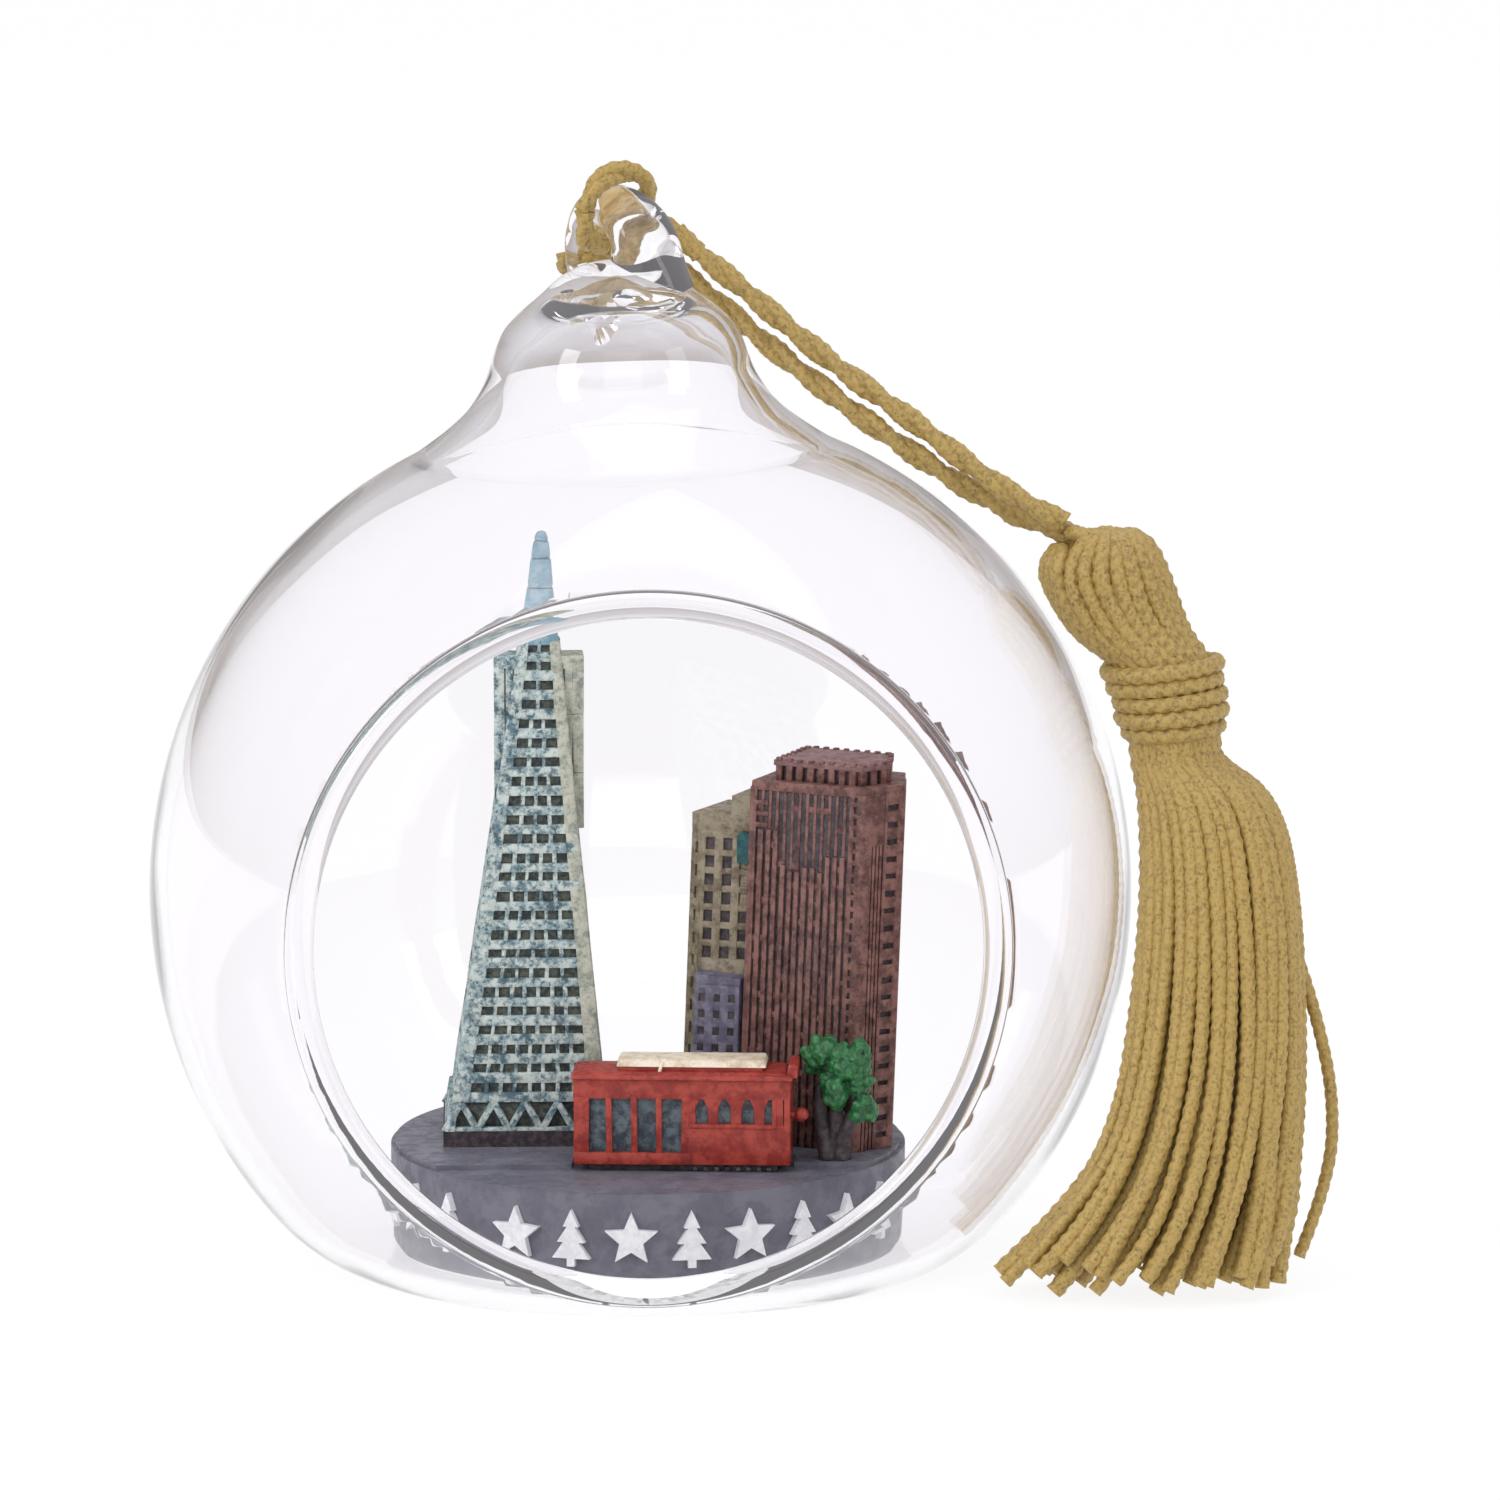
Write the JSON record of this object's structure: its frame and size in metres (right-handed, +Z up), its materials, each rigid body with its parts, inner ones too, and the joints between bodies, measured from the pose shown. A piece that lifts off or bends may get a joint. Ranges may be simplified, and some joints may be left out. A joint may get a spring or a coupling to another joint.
{
  "type": "open glass globe ornament",
  "caption": "Open clear-glass globe ornament with a painted miniature town and tram inside, a glass hook and a gold tassel on a cord loop.",
  "frame": {"origin": "centre of the globe's flat foot, on the surface it stands on", "axes": "+Z up through the neck, -Y out of the round opening, +X towards the tassel"},
  "size_m": [0.0962, 0.0694, 0.0903],
  "materials": {
    "clear_glass": "clear blown glass, fire polished",
    "clear_glue": "clear set adhesive",
    "slate_paint": "painted cast resin, satin",
    "white_paint": "painted cast resin, raised",
    "pale_blue_paint": "painted cast resin with a dark wash",
    "brown_paint": "painted cast resin with a dark wash",
    "tan_paint": "painted cast resin with a dark wash",
    "teal_paint": "painted cast resin",
    "lilac_paint": "painted cast resin with a dark wash",
    "red_paint": "painted cast resin, satin",
    "cream_paint": "painted cast resin",
    "dark_paint": "painted cast resin",
    "bark_paint": "painted cast resin",
    "green_paint": "painted cast resin, glossy dabs",
    "gold_cord": "gold rayon chainette"
  },
  "bodies": {
    "globe": {"glass_globe": "clear_glass", "opening_rim": "clear_glass", "glass_hook": "clear_glass", "glue_pad": "clear_glue", "diorama_base": "slate_paint", "pavement": "slate_paint", "relief_motifs": "white_paint", "tower_plinth": "dark_paint", "tower_truss": "pale_blue_paint", "tower_shaft": "pale_blue_paint", "tower_left_wing": "pale_blue_paint", "tower_right_wing": "pale_blue_paint", "tower_spire": "pale_blue_paint", "brown_tower": "brown_paint", "brown_tower_crown": "brown_paint", "tan_block": "tan_paint", "tan_block_step": "tan_paint", "teal_panel": "teal_paint", "lilac_block": "lilac_paint", "tram_body": "red_paint", "tram_undercarriage": "dark_paint", "tram_roof": "red_paint", "tram_clerestory": "red_paint", "tram_clerestory_roof": "cream_paint", "tram_headlamp": "red_paint", "tree_trunk": "bark_paint", "tree_foliage": "green_paint", "rear_shrub": "green_paint", "cord_hitch": "gold_cord"},
    "hanger_cord": {"cord_leg_upper": "gold_cord", "cord_leg_lower": "gold_cord"},
    "tassel_top": {"tassel_head": "gold_cord", "tassel_binding": "gold_cord"},
    "tassel_fringe": {"tassel_skirt": "gold_cord", "stray_strand": "gold_cord"}
  },
  "joints": [
    {"name": "cord_swing", "type": "hinge", "parent": "globe", "child": "hanger_cord", "pos_m": [0.0026, 0.0038, 0.0832], "axis": [0, -1, 0], "range_deg": [0, 120]},
    {"name": "tassel_swing", "type": "hinge", "parent": "hanger_cord", "child": "tassel_top", "pos_m": [0.0346, -0.0032, 0.0609], "axis": [0, -1, 0], "range_deg": [0, 90]},
    {"name": "fringe_flex", "type": "hinge", "parent": "tassel_top", "child": "tassel_fringe", "pos_m": [0.0435, -0.0064, 0.0393], "axis": [0, -1, 0], "range_deg": [0, 35]}
  ]
}
